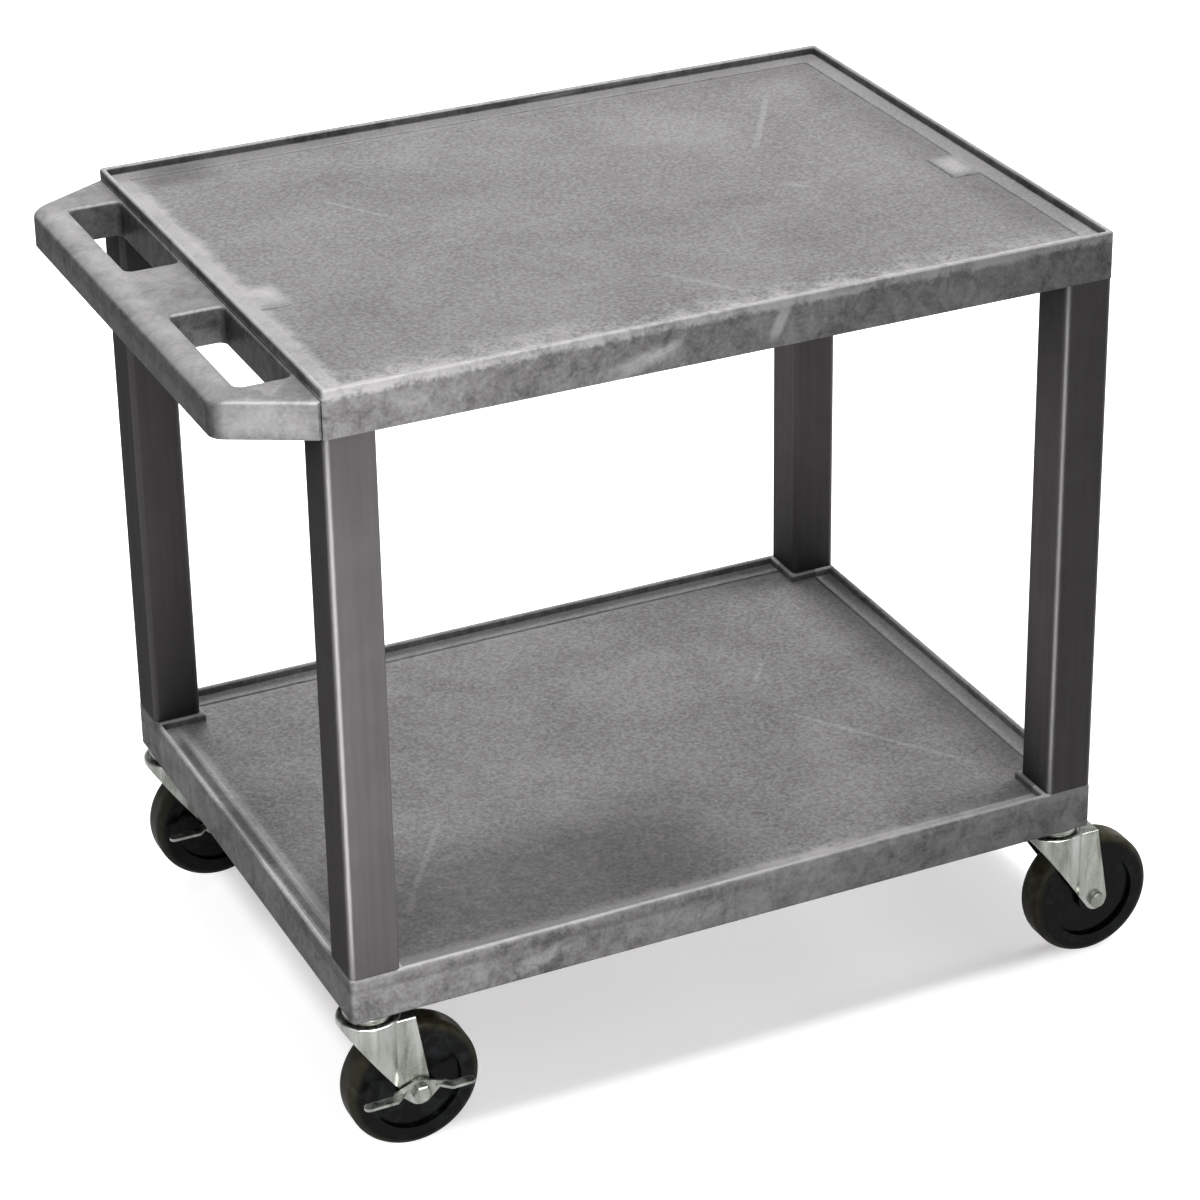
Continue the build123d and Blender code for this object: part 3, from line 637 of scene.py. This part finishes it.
shadow_middle, shadow_half, shadow_blur = (0.044, 0.0093), (0.296, 0.2207), 0.013
floor_paint = bpy.data.materials.new("studio_floor_white")
floor_paint.use_nodes = True
tree = floor_paint.node_tree
tree.nodes.clear()
where = add_node(tree, "ShaderNodeTexCoord", {})["Object"]
place = add_node(tree, "ShaderNodeSeparateXYZ", {0: where})
# Painted shadow: a soft-edged grey rectangle under the cart, darker towards the far end
to_far_end = add_node(
    tree, "ShaderNodeMapRange", {0: place["X"], 1: 0.03, 2: 0.3, 3: 0.0, 4: 1.0}
)[0]
painted_shadow = add_node(
    tree, "ShaderNodeMixRGB",
    {"Fac": to_far_end, "Color1": srgb("#c2c0c1"), "Color2": srgb("#a5a3a4")},
)["Color"]
off_painted_shadow = add_node(
    tree, "ShaderNodeMapRange",
    {0: outside_plan(tree, place, shadow_middle, shadow_half), 1: -shadow_blur, 2: shadow_blur, 3: 0.0, 4: 1.0},
    interpolation_type="SMOOTHSTEP",
)[0]
near_paper = add_node(
    tree, "ShaderNodeMixRGB", {"Fac": off_painted_shadow, "Color1": painted_shadow, "Color2": srgb("#f5f4f4")}
)["Color"]
away = add_node(tree, "ShaderNodeVectorMath", {0: where}, operation="LENGTH")["Value"]
open_floor = add_node(
    tree, "ShaderNodeMapRange", {0: away, 1: 0.45, 2: 1.0, 3: 0.0, 4: 1.0},
    interpolation_type="SMOOTHSTEP",
)[0]
paper = add_node(
    tree, "ShaderNodeMixRGB", {"Fac": open_floor, "Color1": near_paper, "Color2": (1, 1, 1, 1)}
)["Color"]
glow = add_node(tree, "ShaderNodeEmission", {"Color": paper, "Strength": 1.0})["Emission"]
shaded = add_node(tree, "ShaderNodeBsdfDiffuse", {"Color": (0.6, 0.6, 0.6, 1)})["BSDF"]
white = add_node(tree, "ShaderNodeAddShader", {0: shaded, 1: glow})["Shader"]
bounce = add_node(tree, "ShaderNodeBsdfDiffuse", {"Color": (0.25, 0.25, 0.25, 1)})["BSDF"]
look = add_node(
    tree, "ShaderNodeMixShader", {"Fac": seen_directly(tree), 1: bounce, 2: white}
)["Shader"]
add_node(tree, "ShaderNodeOutputMaterial", {"Surface": look})
floor.data.materials.append(floor_paint)

ambient_level = 0.18
world = bpy.data.worlds.new("studio")
world.use_nodes = True
bpy.context.scene.world = world
tree = world.node_tree
tree.nodes.clear()
level = add_node(
    tree, "ShaderNodeMapRange", {0: seen_directly(tree), 1: 0.0, 2: 1.0, 3: ambient_level, 4: 1.0}
)[0]
sky = add_node(
    tree, "ShaderNodeBackground", {"Color": (1, 1, 1, 1), "Strength": level}
)["Background"]
add_node(tree, "ShaderNodeOutputWorld", {"Surface": sky})


# Lights: a lamp far overhead, leaning a little, draws the shadow under the cart, two low softboxes
# reach in over the lower shelf from its back and its far end, and two small ones light the handle's
# front corner and the leg under it. The other panels only shine in the lips and the front legs.
def add_lamp(name, kind, power):
    """A lamp that the camera doesn't see."""
    lamp = bpy.data.lights.new(name, kind)
    lamp.energy = power
    holder = bpy.data.objects.new(name, lamp)
    holder.visible_camera = False
    bpy.context.scene.collection.objects.link(holder)
    return lamp, holder


def add_softbox(name, place, target, size, power, lights=True, shines=True, only_on=()):
    """A rectangular area light facing a target, which lights surfaces, shines in them, or both."""
    lamp, holder = add_lamp(name, "AREA", power)
    lamp.shape = "RECTANGLE"
    lamp.size, lamp.size_y = size
    holder.location = place
    holder.rotation_mode = "QUATERNION"
    holder.rotation_quaternion = (Vector(target) - Vector(place)).to_track_quat("-Z", "Y")
    holder.visible_diffuse = lights
    holder.visible_glossy = shines
    if only_on:
        reached = bpy.data.collections.new(name)
        for node in only_on:
            reached.objects.link(bpy.data.objects[node])
        holder.light_linking.receiver_collection = reached


overhead, overhead_holder = add_lamp("overhead_lamp", "SUN", 1.44)
overhead.angle = math.radians(2.5)
overhead_holder.rotation_euler = (0, math.radians(-2), 0)
overhead_holder.visible_glossy = False
add_softbox("far_end_softbox", (2.0, 0.3, 1.0), (0, 0, 0.3), (1.2, 0.8), 26.0, shines=False)
add_softbox("back_softbox", (0.1, 1.8, 1.0), (0, 0, 0.3), (1.2, 0.8), 30.0, shines=False)
add_softbox("front_left_softbox", (-0.32, -0.6, 0.42), (-0.32, -0.2, 0.42), (0.09, 0.7), 1.7)
add_softbox(
    "edge_highlight", (-0.2, -0.75, 2.2), (-0.2, -0.2, 0.6), (2.6, 0.9), 380.0, lights=False
)
for corner, leg_x, width, power in (
    ("front_left", -0.303, 0.1, 4.2),
    ("front_right", 0.269, 0.09, 1.9),
):
    add_softbox(
        f"{corner}_highlight", (leg_x - 0.072, -0.296, 0.32), (leg_x, -0.226, 0.32),
        (width, 0.42), power, lights=False, only_on=[f"leg_{corner}"],
    )
add_softbox(
    "leg_strip", (-0.306, -0.268, 0.37), (-0.306, -0.226, 0.37), (0.012, 0.34), 0.02, shines=False
)


# Camera: eye level well above the cart, off its front left corner, with a long lens. The photograph
# is cut from a wider picture, so the lens points above the middle of the frame.
photo_width = 1200
focal_pixels = 3818
lens_point = (671, 421)
sensor_width = 36.0
eye = Vector((-1.0923, -2.3716, 1.6429))
heading, dip, roll = math.radians(25.94), math.radians(24.83), math.radians(-0.49)
lens = bpy.data.cameras.new("camera")
lens.sensor_width = sensor_width
lens.lens = focal_pixels * sensor_width / photo_width
lens.shift_x = 0.5 - lens_point[0] / photo_width
lens.shift_y = lens_point[1] / photo_width - 0.5
camera = bpy.data.objects.new("camera", lens)
camera.matrix_world = (
    Matrix.Translation(eye)
    @ Matrix.Rotation(-heading, 4, "Z")
    @ Matrix.Rotation(math.pi / 2 - dip, 4, "X")
    @ Matrix.Rotation(roll, 4, "Z")
)
bpy.context.scene.collection.objects.link(camera)
bpy.context.scene.camera = camera
bpy.context.scene.view_settings.view_transform = "Standard"
